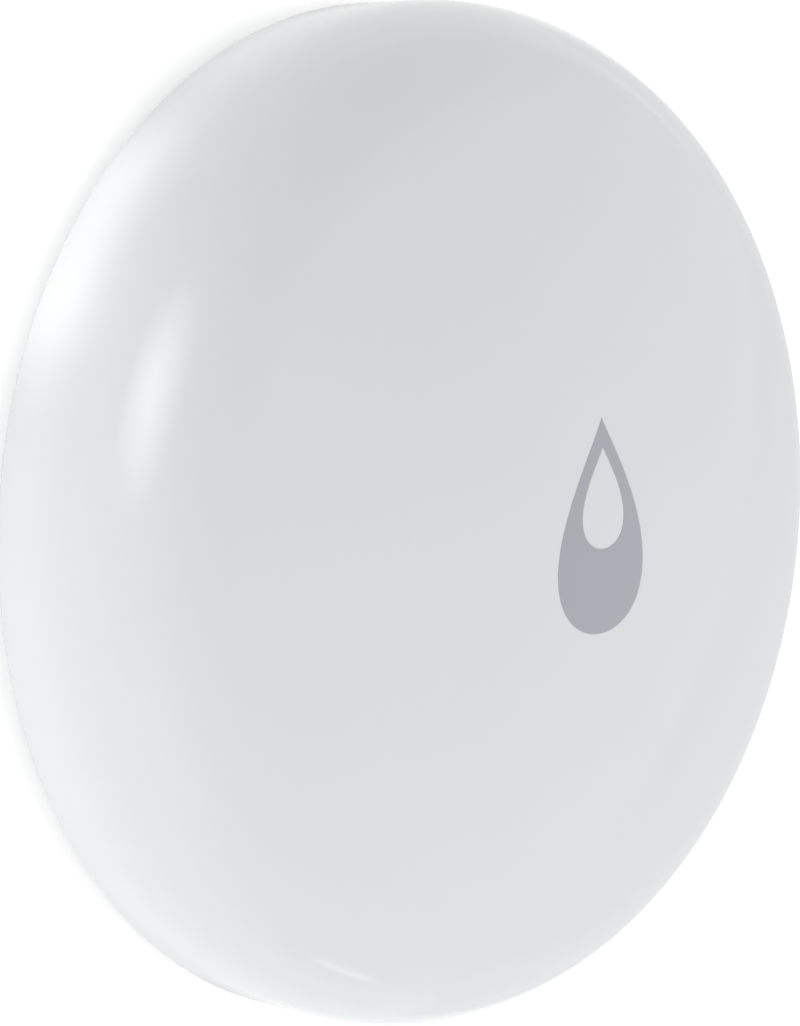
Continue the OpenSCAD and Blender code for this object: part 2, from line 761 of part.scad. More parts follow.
front_cover();
rear_case();
case_seal();
battery_door();
door_o_ring();
cell_can();
cell_cap();
cell_gasket();
positive_contacts();
negative_contact();
circuit_board();
board_screws();
switch_base();
switch_frame();
switch_dome();
switch_plunger();
switch_legs();
indicator_led();
radio_chip();
crystal();
chip_capacitors();
chip_resistors();
antenna_trace();
probe_screws();
probe_seals();
probe_posts();
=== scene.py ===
# %% [markdown]
# # A round water leak sensor
# The sensor is a white plastic puck, 50 mm across, that lies on the floor and reports water between two
# screws on its underside. Its parts arrive as measured solids. This lesson gives them their looks: a camera,
# soft light, a smooth cover, a printed drop, moulded marks, a snap dome and a finish for every part.

# %% Load the measured parts
import json
import math

import bpy
from mathutils import Matrix, Vector


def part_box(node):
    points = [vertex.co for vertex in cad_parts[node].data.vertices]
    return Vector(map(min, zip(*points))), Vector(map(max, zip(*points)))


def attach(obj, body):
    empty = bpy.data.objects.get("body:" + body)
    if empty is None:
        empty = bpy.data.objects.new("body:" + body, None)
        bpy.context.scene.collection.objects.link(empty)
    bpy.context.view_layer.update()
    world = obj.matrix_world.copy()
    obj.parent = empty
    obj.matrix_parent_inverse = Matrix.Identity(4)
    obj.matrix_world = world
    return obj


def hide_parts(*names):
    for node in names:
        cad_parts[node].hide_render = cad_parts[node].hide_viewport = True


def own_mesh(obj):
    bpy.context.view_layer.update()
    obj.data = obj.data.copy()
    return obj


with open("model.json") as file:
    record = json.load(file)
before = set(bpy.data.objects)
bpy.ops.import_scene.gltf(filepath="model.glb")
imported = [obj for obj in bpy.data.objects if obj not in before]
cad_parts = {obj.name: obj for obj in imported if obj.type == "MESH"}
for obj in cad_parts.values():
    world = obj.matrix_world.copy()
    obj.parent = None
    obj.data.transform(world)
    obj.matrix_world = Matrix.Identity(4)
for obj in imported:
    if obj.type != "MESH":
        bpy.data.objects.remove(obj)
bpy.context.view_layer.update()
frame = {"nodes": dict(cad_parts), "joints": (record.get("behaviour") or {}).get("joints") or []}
mm = 0.001

# %% [markdown]
# ## Camera
# The camera looks down on the face from the left, turned so that the tip of the drop points up in the
# picture. Its place and its lens come from fitting the round outline, so it is set as three directions
# instead of by a tracking constraint, which would keep the world's Z upright.

# %% Place the camera
camera_place = Vector((-109.23, 14.62, 102.44)) * mm
aim_place = Vector((-6.053, 0.74, 7.5)) * mm
camera_roll = math.radians(0.72)
focal_mm = 105.26
sensor_mm = 36


def camera_frame(place, aim, roll):
    """World matrix of a camera at place that looks at aim with +Y up, turned by roll about its view."""
    forward = (aim - place).normalized()
    right = forward.cross(Vector((0, 1, 0))).normalized()
    up = right.cross(forward)
    axes = Matrix((right, up, -forward)).transposed().to_4x4()
    return Matrix.Translation(place) @ axes @ Matrix.Rotation(roll, 4, "Z")


bpy.ops.object.camera_add()
camera = bpy.context.object
camera.name = "camera"
camera.matrix_world = camera_frame(camera_place, aim_place, camera_roll)
camera.data.sensor_fit = "VERTICAL"
camera.data.sensor_height = sensor_mm
camera.data.lens = focal_mm
camera.data.clip_start = mm
bpy.context.scene.camera = camera
bpy.context.scene.view_settings.view_transform = "Standard"
print("camera distance in mm:", round((camera_place - aim_place).length / mm, 1))

# %% [markdown]
# ## Two small helpers for materials
# Colours are written as the hex values that a paint program shows. Blender computes with linear light, so one
# function converts them. A second one adds a shader node, sets its values and links its inputs, which keeps
# every material below down to a few readable lines.

# %% Colour and node helpers


def linear(hex_colour):
    """Linear RGBA of an sRGB hex colour such as '#c0ffee'."""
    channels = [int(hex_colour[i:i + 2], 16) / 255 for i in (1, 3, 5)]
    return [c / 12.92 if c <= 0.04045 else ((c + 0.055) / 1.055) ** 2.4 for c in channels] + [1]


def add(tree, kind, settings=None, inputs=None):
    """Adds a shader node. A socket given as an input is linked, and any other value is set."""
    node = tree.nodes.new("ShaderNode" + kind)
    for name, value in (settings or {}).items():
        setattr(node, name, value)
    for name, value in (inputs or {}).items():
        if isinstance(value, bpy.types.NodeSocket):
            tree.links.new(value, node.inputs[name])
        else:
            node.inputs[name].default_value = value
    return node


print("light grey in linear light:", [round(c, 3) for c in linear("#dfe1e3")[:3]])

# %% [markdown]
# ## Floor
# A white object on white needs a floor that reads as white and still carries a soft shadow. More light would
# bleach the object, so rays from the camera also see the floor glow, more so far away, where the lamps no
# longer reach. In the sensor's gloss the floor glows less, which keeps the sensor's edge apart from the
# background. Lamps see a plain white floor.

# %% Lay the floor
floor_side = 3.0
floor_glow = 0.45
far_glow = 1.0
mirrored_glow = 0.34
lit_to, dark_from = 0.2, 0.9

bpy.ops.object.select_all(action="DESELECT")
bpy.ops.mesh.primitive_plane_add(size=floor_side)
floor = bpy.context.object
floor.name = "floor"
floor_paint = bpy.data.materials.new("white_studio_floor")
floor_paint.use_nodes = True
tree = floor_paint.node_tree
tree.nodes.clear()
path = add(tree, "LightPath")
matte = add(tree, "BsdfDiffuse", None, {"Color": linear("#f2f2f2")})
mirrored = add(tree, "Math", {"operation": "MULTIPLY"}, {0: path.outputs["Is Glossy Ray"], 1: mirrored_glow})
where = add(tree, "TexCoord").outputs["Object"]
away = add(tree, "VectorMath", {"operation": "LENGTH"}, {0: where})
seen_glow = add(tree, "MapRange", None, {"Value": away.outputs["Value"], "From Min": lit_to,
                                         "From Max": dark_from, "To Min": floor_glow, "To Max": far_glow})
glow_level = add(tree, "Math", {"operation": "MULTIPLY_ADD"},
                 {0: path.outputs["Is Camera Ray"], 1: seen_glow.outputs["Result"], 2: mirrored.outputs[0]})
glow = add(tree, "Emission", None, {"Color": (1, 1, 1, 1), "Strength": glow_level.outputs[0]})
both = add(tree, "AddShader", None, {0: matte.outputs[0], 1: glow.outputs[0]})
add(tree, "OutputMaterial", None, {"Surface": both.outputs[0]})
floor.data.materials.append(floor_paint)
print("floor side in m:", floor_side)

# %% [markdown]
# ## White surroundings
# The world is white wherever the picture shows it: straight from the camera, mirrored in gloss or through
# clear silicone. As a light it is weaker, which leaves the lamps room to model the form.

# %% Paint the world
ambient = 0.55

world = bpy.data.worlds.new("white_studio")
bpy.context.scene.world = world
world.use_nodes = True
tree = world.node_tree
tree.nodes.clear()
path = add(tree, "LightPath")
direct = add(tree, "Math", {"operation": "MAXIMUM"},
             {0: path.outputs["Is Camera Ray"], 1: path.outputs["Is Glossy Ray"]})
seen = add(tree, "Math", {"operation": "MAXIMUM"},
           {0: direct.outputs[0], 1: path.outputs["Is Transmission Ray"]})
level = add(tree, "MapRange", None, {"Value": seen.outputs[0], "To Min": ambient, "To Max": 1.0})
sky = add(tree, "Background", None, {"Color": (1, 1, 1, 1), "Strength": level.outputs[0]})
add(tree, "OutputWorld", None, {"Surface": sky.outputs[0]})
print("ambient light:", ambient)

# %% [markdown]
# ## Lamps
# A studio lights such a puck with soft boxes all round. Each lamp is placed by its compass angle and its rise
# above the floor, seen from the sensor, and looks at the sensor. The fills only model the form, so they are
# kept out of reflections. Glossy plastic mirrors what stays: a box on the left that fades towards its edges
# draws the long soft highlight on the shoulder, and a low strip at the front draws the short streak under it.

# %% Soft boxes round the sensor


def soft_box(name, compass, rise, distance, width, height, watts):
    """Area lamp that looks at the origin from a compass angle and a rise, in degrees and metres."""
    bpy.ops.object.light_add(type="AREA")
    lamp = bpy.context.object
    lamp.name = name
    a, e = math.radians(compass), math.radians(rise)
    toward = Vector((math.cos(a) * math.cos(e), math.sin(a) * math.cos(e), math.sin(e)))
    turn = toward.to_track_quat("Z", "Y").to_matrix().to_4x4()
    lamp.matrix_world = Matrix.Translation(toward * distance) @ turn
    lamp.data.shape = "RECTANGLE"
    lamp.data.size = width
    lamp.data.size_y = height
    lamp.data.energy = watts
    lamp.visible_camera = False
    return lamp


fills = [
    soft_box("right", compass=0, rise=35, distance=0.5, width=0.3, height=0.2, watts=0.77),
    soft_box("front_left", compass=225, rise=15, distance=0.5, width=0.3, height=0.2, watts=0.67),
    soft_box("front_right", compass=315, rise=35, distance=0.5, width=0.3, height=0.2, watts=0.39),
]
for lamp in fills:
    lamp.visible_glossy = False
key = soft_box("key", compass=155, rise=15.5, distance=0.4, width=0.34, height=0.3, watts=1.32)
soft_box("low_strip", compass=284, rise=6, distance=0.4, width=0.08, height=0.02, watts=0.0075)
print("fills and key:", [lamp.name for lamp in fills + [key]])

# %% [markdown]
# A soft box is brightest in its middle, where the bulb is. The key lamp does the same: a gradient over its
# face, one in the middle and nothing at the rim, sets how strongly each spot of it shines. The lamp's own
# coordinates run from zero to one, so they are first moved to have zero in the middle.

# %% Let the key lamp fade towards its edges
key.data.use_nodes = True
tree = key.data.node_tree
tree.nodes.clear()
on_lamp = add(tree, "NewGeometry").outputs["Parametric"]
from_middle = add(tree, "Mapping", None, {"Vector": on_lamp, "Location": (-1, -1, 0), "Scale": (2, 2, 1)})
fade = add(tree, "TexGradient", {"gradient_type": "SPHERICAL"}, {"Vector": from_middle.outputs["Vector"]})
shine = add(tree, "Emission", None, {"Strength": fade.outputs["Fac"]})
add(tree, "OutputLight", None, {"Surface": shine.outputs[0]})
print("key lamp nodes:", len(tree.nodes))

# %% [markdown]
# The straight side is only a few millimetres high, and light from above slides past it. Three narrow beams
# just over the floor reach it and little above it. They open by a few degrees, so that each patch of light
# fades out softly, and reflections don't see them.

# %% Beams along the floor
beam_z = 2 * mm
beam_spread = math.radians(8)
along_floor = {"rise": 0, "distance": 0.08, "height": 2 * beam_z}
beams = [
    soft_box("far_beam", compass=113, width=0.014, watts=0.000038, **along_floor),
    soft_box("side_beam", compass=146, width=0.012, watts=0.000076, **along_floor),
    soft_box("front_beam", compass=193, width=0.031, watts=0.00007, **along_floor),
]
for lamp in beams:
    lamp.location.z = beam_z
    lamp.visible_glossy = False
    lamp.data.spread = beam_spread

# %% [markdown]
# ## Drawing outlines with one vertex
# The cover is a solid of revolution, so its half outline comes first. A plane merged to its centre leaves one
# vertex. Extruding that vertex draws straight stretches, and spinning it about a centre draws true arcs. The
# same three steps then also draw the other round pieces.

# %% Outline helpers
sharp_angle = math.radians(30)
weld_gap = 0.001 * mm


def begin(name, place):
    """Starts a new piece as one selected vertex at a place, in edit mode."""
    bpy.ops.object.select_all(action="DESELECT")
    bpy.ops.mesh.primitive_plane_add(size=mm)
    piece = bpy.context.object
    piece.name = piece.data.name = name
    bpy.ops.object.mode_set(mode="EDIT")
    bpy.ops.mesh.merge(type="CENTER")
    bpy.ops.transform.translate(value=place)
    return piece


def line(x, z):
    """Draws a straight stretch from the last vertex."""
    bpy.ops.mesh.extrude_region_move(TRANSFORM_OT_translate={"value": (x, 0, z)})


def arc(x, z, degrees, steps):
    """Draws an arc about a centre in the XZ plane, turning from +Z towards +X, which spin does about -Y."""
    bpy.ops.mesh.spin(steps=steps, angle=math.radians(degrees), center=(x, 0, z), axis=(0, -1, 0))


def revolve(steps):
    """Turns the outline once round Z, closes the seam and the poles and points the faces outwards."""
    bpy.ops.mesh.select_all(action="SELECT")
    bpy.ops.mesh.spin(steps=steps, angle=2 * math.pi, center=(0, 0, 0), axis=(0, 0, 1))
    bpy.ops.mesh.select_all(action="SELECT")
    bpy.ops.mesh.remove_doubles(threshold=weld_gap)
    bpy.ops.mesh.normals_make_consistent(inside=False)
    bpy.ops.object.mode_set(mode="OBJECT")


def smooth(piece):
    """Shades a piece smooth, except across its sharp edges."""
    bpy.ops.object.select_all(action="DESELECT")
    bpy.context.view_layer.objects.active = piece
    piece.select_set(True)
    bpy.ops.object.shade_smooth_by_angle(angle=sharp_angle)


print("outline helpers ready")

# %% [markdown]
# ## A grey card beside the sensor
# A white thing on white loses its far edge, because plastic seen at a low angle mirrors its surroundings. In
# a studio a grey card stands just out of the picture, so that the edge mirrors grey. This one is a strip bent
# round the far side, drawn with the helpers above. Its top slants down and its grey fades to white towards
# both ends, so that the ends don't show, and only reflections see it.

# %% Bend a strip round the far side
card_r = 38 * mm
card_from, card_to = math.radians(278), math.radians(420)
card_middle = math.radians(345)
card_high_at = math.radians(310)
card_h, card_slant = 10 * mm, 13 * mm
card_grey = 0.84
fade_from, fade_to = 0.3 * card_r, 0.8 * card_r
card_steps = 48

card = begin("grey_card", (card_r * math.cos(card_from), card_r * math.sin(card_from), 0))
line(0, card_h + card_slant)
bpy.ops.mesh.select_all(action="SELECT")
bpy.ops.mesh.spin(steps=card_steps, angle=card_from - card_to, center=(0, 0, 0), axis=(0, 0, 1))
bpy.ops.mesh.select_all(action="SELECT")
slope = card_slant / card_r
bpy.ops.mesh.bisect(plane_co=(0, 0, card_h), clear_outer=True,
                    plane_no=(-slope * math.cos(card_high_at), -slope * math.sin(card_high_at), 1))
bpy.ops.object.mode_set(mode="OBJECT")
card_paint = bpy.data.materials.new("grey_card")
card_paint.use_nodes = True
tree = card_paint.node_tree
tree.nodes.clear()
where = add(tree, "TexCoord").outputs["Object"]
along = add(tree, "VectorMath", {"operation": "DOT_PRODUCT"},
            {0: where, 1: (math.cos(card_middle), math.sin(card_middle), 0)})
grey = add(tree, "MapRange", None, {"Value": along.outputs["Value"], "From Min": fade_from,
                                    "From Max": fade_to, "To Min": 1.0, "To Max": card_grey})
shine = add(tree, "Emission", None, {"Strength": grey.outputs["Result"]})
add(tree, "OutputMaterial", None, {"Surface": shine.outputs[0]})
card.data.materials.append(card_paint)
card.visible_camera = card.visible_diffuse = card.visible_shadow = False
card.visible_transmission = card.visible_volume_scatter = False
print("card heights in mm:", [round(f(v.co.z for v in card.data.vertices) / mm, 1) for f in (min, max)])

# %% [markdown]
# ## The cover
# The real cover is one moulded shell: a wide flat crown, a rounded shoulder, a short straight side and a
# rounded rim. The crown and the shoulder are arcs that meet without a kink, which is what lets highlights
# flow across the edge. The shell's outside and inside are drawn as one outline and revolved.

# %% Revolve the shell
cover_low, cover_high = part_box("front_cover")
cover_r = cover_high.x
cover_top = cover_high.z
rim_z = cover_low.z
wall = 1.6 * mm
shoulder_r = 7.48 * mm
shoulder_z = 4.6 * mm
rim_round = 0.3 * mm
post_r = 2.2 * mm
post_l = 1.3 * mm
turns = 192
crown_steps, shoulder_steps, rim_steps, inner_steps = 24, 28, 5, 14

shoulder_x = cover_r - shoulder_r
drop_z = shoulder_z - cover_top
crown_r = (shoulder_r ** 2 - shoulder_x ** 2 - drop_z ** 2) / (2 * (drop_z + shoulder_r))
crown_z = cover_top - crown_r
crown_deg = math.degrees(math.atan2(shoulder_x, shoulder_z - crown_z))
inner_crown_r = crown_r - wall
post_deg = math.degrees(math.asin(post_r / inner_crown_r))
post_top = crown_z + math.sqrt(inner_crown_r ** 2 - post_r ** 2)
post_end = cover_top - wall - post_l

cover = begin("cover_shell", (0, 0, cover_top))
arc(0, crown_z, crown_deg, crown_steps)
arc(shoulder_x, shoulder_z, 90 - crown_deg, shoulder_steps)
line(0, rim_z + rim_round - shoulder_z)
arc(cover_r - rim_round, rim_z + rim_round, 90, rim_steps)
line(rim_round - wall, 0)
line(0, shoulder_z - rim_z)
arc(shoulder_x, shoulder_z, crown_deg - 90, inner_steps)
arc(0, crown_z, post_deg - crown_deg, inner_steps)
line(0, post_end - post_top)
line(-post_r, 0)
revolve(turns)
print("cover faces:", len(cover.data.polygons), "crown radius in mm:", round(crown_r / mm, 2))

# %% [markdown]
# ## Inside the cover
# A moulded cover also has snap teeth that hold it on the rear case, gussets beside the post that presses the
# switch, and a thin spot that lets the indicator light through. They are small solids, so each is made as a
# box or a cylinder, and a Boolean modifier joins it to the shell or cuts it away.

# %% Snap teeth, gussets and the thin spot


def combine(piece, other, operation):
    """Joins another solid to a piece, or cuts it away, and removes the other."""
    boolean = piece.modifiers.new(operation.lower(), "BOOLEAN")
    boolean.operation = operation
    boolean.solver = "EXACT"
    boolean.object = other
    bpy.ops.object.select_all(action="DESELECT")
    bpy.context.view_layer.objects.active = piece
    piece.select_set(True)
    bpy.ops.object.modifier_apply(modifier=boolean.name)
    bpy.data.objects.remove(other)


def bar(name, size, place, degrees):
    """Box of a size, moved to a place and then turned about Z through the origin, all in its mesh."""
    bpy.ops.object.select_all(action="DESELECT")
    bpy.ops.mesh.primitive_cube_add(size=1)
    piece = bpy.context.object
    piece.name = name
    piece.data.transform(Matrix.Rotation(math.radians(degrees), 4, "Z") @ Matrix.Translation(place)
                         @ Matrix.Diagonal((*size, 1)))
    return piece


snap_count, gusset_count = 4, 2
first_snap = 45
snap_turn, gusset_turn = 360 / snap_count, 180 / gusset_count
tooth_reach, tooth_h, tooth_len = 0.8 * mm, 0.8 * mm, 5 * mm
tooth_z0 = 2.7 * mm
gusset_l, gusset_t, gusset_depth = 12 * mm, 0.8 * mm, 0.7 * mm
spot_r, spot_y, spot_skin = 1.6 * mm, -7.5 * mm, 0.7 * mm
spot_sides = 48
skirt_in_r = cover_r - wall
inner_apex = cover_top - wall

for k in range(snap_count):
    reach = tooth_reach + wall / 2
    place = Vector((skirt_in_r - tooth_reach + reach / 2, 0, tooth_z0 + tooth_h / 2))
    tooth = bar("tooth", (reach, tooth_len, tooth_h), place, first_snap + snap_turn * k)
    combine(cover, tooth, "UNION")
for k in range(gusset_count):
    height = gusset_depth + wall / 2
    place = Vector((0, 0, inner_apex - gusset_depth + height / 2))
    gusset = bar("gusset", (gusset_l, gusset_t, height), place, first_snap + gusset_turn * k)
    combine(cover, gusset, "UNION")
spot_top = crown_z + math.sqrt(crown_r ** 2 - (spot_r - spot_y) ** 2) - spot_skin
bpy.ops.mesh.primitive_cylinder_add(vertices=spot_sides, radius=spot_r, depth=2 * wall)
spot = bpy.context.object
spot.data.transform(Matrix.Translation((0, spot_y, spot_top - wall)))
combine(cover, spot, "DIFFERENCE")
smooth(cover)
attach(cover, "cover")
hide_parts("front_cover")
print("cover faces with its inside:", len(cover.data.polygons))

# %% [markdown]
# ## The printed drop
# The drop is screen-printed ink, thinner than a hair, with a smaller drop left bare in it. Both outlines
# follow the same teardrop curve: a circle whose width is squeezed towards the tip. The two loops are bridged
# with enough cuts to bend, and the sheet between them is wrapped on the crown from above. A print is rarely
# quite centred, and this one sits a little towards -X.

# %% Bridge two teardrops and wrap them on the crown
ink_t = 0.03 * mm
ink_sink = 0.01 * mm
taper = 1.25
loop_points = 160
bridge_cuts = 8
print_x = -0.15 * mm
widest = 2 * ((taper + 1) / (taper + 2)) ** ((taper + 1) / 2) / math.sqrt(taper + 2)


def teardrop(half_width, tip_y, end_y):
    """Adds a closed teardrop loop above the cover, with its tip towards +Y, to the mesh being edited."""
    for vertex in bpy.context.object.data.vertices:
        vertex.select = False
    bpy.ops.object.mode_set(mode="EDIT")
    bpy.ops.mesh.primitive_circle_add(vertices=loop_points, radius=1, fill_type="NOTHING")
    bpy.ops.object.mode_set(mode="OBJECT")
    half_length, middle = (tip_y - end_y) / 2, (tip_y + end_y) / 2
    for vertex in bpy.context.object.data.vertices:
        if vertex.select:
            turn = math.atan2(vertex.co.x, vertex.co.y)
            width = math.sin(turn) * abs(math.sin(turn / 2)) ** taper / widest
            along = middle + half_length * math.cos(turn)
            vertex.co = (print_x + half_width * width, along, 2 * cover_top)


drop = begin("printed_drop", (0, 0, 0))
bpy.ops.mesh.delete(type="VERT")
bpy.ops.object.mode_set(mode="OBJECT")
teardrop(half_width=3.11 * mm, tip_y=5.38 * mm, end_y=-4.78 * mm)
teardrop(half_width=1.53 * mm, tip_y=4.05 * mm, end_y=-0.76 * mm)
bpy.ops.object.mode_set(mode="EDIT")
bpy.ops.mesh.select_all(action="SELECT")
bpy.ops.mesh.bridge_edge_loops(number_cuts=bridge_cuts, interpolation="LINEAR")
bpy.ops.mesh.select_all(action="SELECT")
bpy.ops.mesh.normals_make_consistent(inside=False)
bpy.ops.object.mode_set(mode="OBJECT")
wrap = drop.modifiers.new("wrap", "SHRINKWRAP")
wrap.target = cover
wrap.wrap_method = "PROJECT"
wrap.use_project_z = True
wrap.use_negative_direction = True
wrap.use_positive_direction = False
wrap.offset = -ink_sink
bpy.ops.object.modifier_apply(modifier=wrap.name)
print("drop faces:", len(drop.data.polygons), "heights in mm:",
      [round(f(v.co.z for v in drop.data.vertices) / mm, 3) for f in (min, max)])

# %% [markdown]
# The wrapped sheet lies a hundredth of a millimetre inside the crown, so that no gap shows at its edge.
# Solidify then grows it outwards to the thickness of a dried layer of ink.

# %% Give the ink its thickness
body = drop.modifiers.new("body", "SOLIDIFY")
body.thickness = ink_t
body.offset = 1
bpy.ops.object.modifier_apply(modifier=body.name)
smooth(drop)
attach(drop, "cover")
print("drop faces with its edge:", len(drop.data.polygons))

# %% [markdown]
# ## Moulded marks on the underside
# A door that turns by a coin has a raised pointer, and the case has a dot for shut and a ring for open. They
# stand about a tenth of a millimetre proud, so they never touch the floor. Each starts as a flat circle of
# few or many sides, and the ring is also inset. All are extruded downwards and get a small bevel, as a mould
# maker would break an edge.

# %% Pointer, dot and ring
mark_h = 0.12 * mm
mark_root = 0.05 * mm
mark_bevel, bevel_steps = mark_h / 3, 2
door_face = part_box("battery_door")[0].z
case_face = 0.4 * mm
door_turn_deg = next(j["range_deg"][1] for j in frame["joints"] if j["name"] == "door_turn")
pointer_angle = 90
stop_r = 15.2 * mm


def mark(name, sides, radius, inner, stretch, place_r, angle, face_z):
    """Raised mark on a downward face, stretched outwards, and hollow where an inner radius is given."""
    bpy.ops.object.select_all(action="DESELECT")
    bpy.ops.mesh.primitive_circle_add(vertices=sides, radius=radius, fill_type="NGON")
    piece = bpy.context.object
    piece.data.transform(Matrix.Diagonal((1, stretch, 1, 1)))
    piece.name = piece.data.name = name
    bpy.ops.object.mode_set(mode="EDIT")
    if inner:
        bpy.ops.mesh.inset(thickness=radius - inner)
        bpy.ops.mesh.delete(type="FACE")
        bpy.ops.mesh.select_all(action="SELECT")
    bpy.ops.mesh.extrude_region_move(TRANSFORM_OT_translate={"value": (0, 0, -mark_h - mark_root)})
    bpy.ops.mesh.region_to_loop()
    bpy.ops.mesh.bevel(offset=mark_bevel, segments=bevel_steps)
    bpy.ops.mesh.select_all(action="SELECT")
    bpy.ops.mesh.normals_make_consistent(inside=False)
    bpy.ops.object.mode_set(mode="OBJECT")
    turn = Matrix.Rotation(math.radians(angle), 4, "Z")
    outwards = Matrix.Translation((place_r, 0, 0)) @ Matrix.Rotation(math.radians(-90), 4, "Z")
    piece.data.transform(Matrix.Translation((0, 0, face_z + mark_root)) @ turn @ outwards)
    smooth(piece)
    return piece


pointer = mark("door_pointer", sides=3, radius=1.1 * mm, inner=0, stretch=1.6,
               place_r=10.8 * mm, angle=pointer_angle, face_z=door_face)
shut_dot = mark("shut_dot", sides=32, radius=0.6 * mm, inner=0, stretch=1,
                place_r=stop_r, angle=pointer_angle, face_z=case_face)
open_ring = mark("open_ring", sides=32, radius=0.75 * mm, inner=0.45 * mm, stretch=1,
                 place_r=stop_r, angle=pointer_angle - door_turn_deg, face_z=case_face)
for piece, body in ((pointer, "door"), (shut_dot, "base"), (open_ring, "base")):
    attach(piece, body)
    print(piece.name, "lowest point in mm:", round(min(v.co.z for v in piece.data.vertices) / mm, 3))

# %% [markdown]
# ## The snap dome
# Inside the switch a shallow dome of thin spring steel clicks flat when the plunger comes down. The measured
# dome is rigid, so it is drawn again as two arcs and revolved.

# %% Revolve the dome
dome_low, dome_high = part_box("switch_dome")
dome_t = 0.1 * mm
dome_steps, dome_turns = 10, 48
dome_r = dome_high.x
dome_rise = dome_high.z - dome_low.z
sphere_r = (dome_r ** 2 + dome_rise ** 2) / (2 * dome_rise)
sphere_z = dome_high.z - sphere_r
inner_r = sphere_r - dome_t
inner_rim_r = math.sqrt(inner_r ** 2 - (dome_low.z - sphere_z) ** 2)

snap_dome = begin("snap_dome", (0, 0, dome_high.z))
arc(0, sphere_z, math.degrees(math.asin(dome_r / sphere_r)), dome_steps)
line(inner_rim_r - dome_r, 0)
arc(0, sphere_z, -math.degrees(math.asin(inner_rim_r / inner_r)), dome_steps)
revolve(dome_turns)
smooth(snap_dome)
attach(snap_dome, "base")
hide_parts("switch_dome")
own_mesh(snap_dome)
print("dome radius and rise in mm:", round(dome_r / mm, 2), round(dome_rise / mm, 2))

# %% [markdown]
# ## Finishes
# Every finish starts the same way: an empty material and the object's own coordinates in metres. A pattern's
# scale is one over the size of its bumps, so each one below is written as a size in millimetres.

# %% Start of a finish


def blank(name):
    """New material without nodes, its tree and the object's coordinates."""
    material = bpy.data.materials.new(name)
    material.use_nodes = True
    material.node_tree.nodes.clear()
    coordinates = add(material.node_tree, "TexCoord").outputs["Object"]
    return material, material.node_tree, coordinates


def per(size_mm):
    """Texture scale at which one bump of a pattern measures this many millimetres."""
    return 1 / (size_mm * mm)


def surface(tree, inputs):
    """Ends a finish with a Principled shader that has these inputs."""
    shader = add(tree, "BsdfPrincipled", None, inputs)
    add(tree, "OutputMaterial", None, {"Surface": shader.outputs[0]})


print("a 2 mm pattern has scale", per(2))

# %% [markdown]
# ### Cover: polished white ABS
# The cover is injection-moulded ABS from a polished mould. To the eye it is a clean cool white that mirrors
# its surroundings faintly but clearly. The polish varies a little from place to place, and the plastic
# shrinks as it cools, which leaves a faint waviness. The waves are drawn shallow, so that the gloss only just
# moves.

# %% Polished white ABS


def polished_abs():
    material, tree, where = blank("polished_white_abs")
    clouds = add(tree, "TexNoise", None, {"Vector": where, "Scale": per(14), "Detail": 2})
    tint = add(tree, "ValToRGB", None, {"Fac": clouds.outputs["Fac"]})
    tint.color_ramp.elements[0].color = linear("#dfe1e3")
    tint.color_ramp.elements[1].color = linear("#e2e4e5")
    haze = add(tree, "TexNoise", None, {"Vector": where, "Scale": per(3), "Detail": 3})
    gloss = add(tree, "MapRange", None, {"Value": haze.outputs["Fac"], "To Min": 0.1, "To Max": 0.15})
    waves = add(tree, "TexNoise", None, {"Vector": where, "Scale": per(5), "Detail": 1})
    bump = add(tree, "Bump", None, {"Height": waves.outputs["Fac"], "Strength": 0.3, "Distance": 0.006 * mm})
    surface(tree, {"Base Color": tint.outputs["Color"], "Roughness": gloss.outputs["Result"], "IOR": 1.54,
                   "Normal": bump.outputs["Normal"]})
    return material


cover.data.materials.append(polished_abs())
print("cover finish:", cover.data.materials[0].name)

# %% [markdown]
# ### Drop: screen-printed grey ink
# Screen ink dries to an even, slightly blue grey with less gloss than the plastic under it. The mesh of the
# screen leaves a fine grid of dots. A real one is near 0.1 mm and can't show, so it is drawn at 0.25 mm.

# %% Screen-printed ink


def printed_ink():
    material, tree, where = blank("screen_printed_ink")
    mesh_dots = add(tree, "TexVoronoi", {"feature": "F1"},
                    {"Vector": where, "Scale": per(0.25), "Randomness": 0.2})
    tint = add(tree, "ValToRGB", None, {"Fac": mesh_dots.outputs["Distance"]})
    tint.color_ramp.elements[0].color = linear("#abaeb5")
    tint.color_ramp.elements[1].color = linear("#a8abb1")
    bump = add(tree, "Bump", None, {"Height": mesh_dots.outputs["Distance"], "Strength": 0.2,
                                    "Distance": 0.004 * mm})
    surface(tree, {"Base Color": tint.outputs["Color"], "Roughness": 0.42, "IOR": 1.5,
                   "Normal": bump.outputs["Normal"]})
    return material


drop.data.materials.append(printed_ink())
print("drop finish:", drop.data.materials[0].name)

# %% [markdown]
# ### Rear case and door: ABS from a spark-eroded mould
# Moulds for undersides are left with the fine pits of spark erosion, which hides scratches. The plastic is
# the same white, dull and slightly grainy. Two sizes of grain on top of each other look less regular.

# %% Satin white ABS


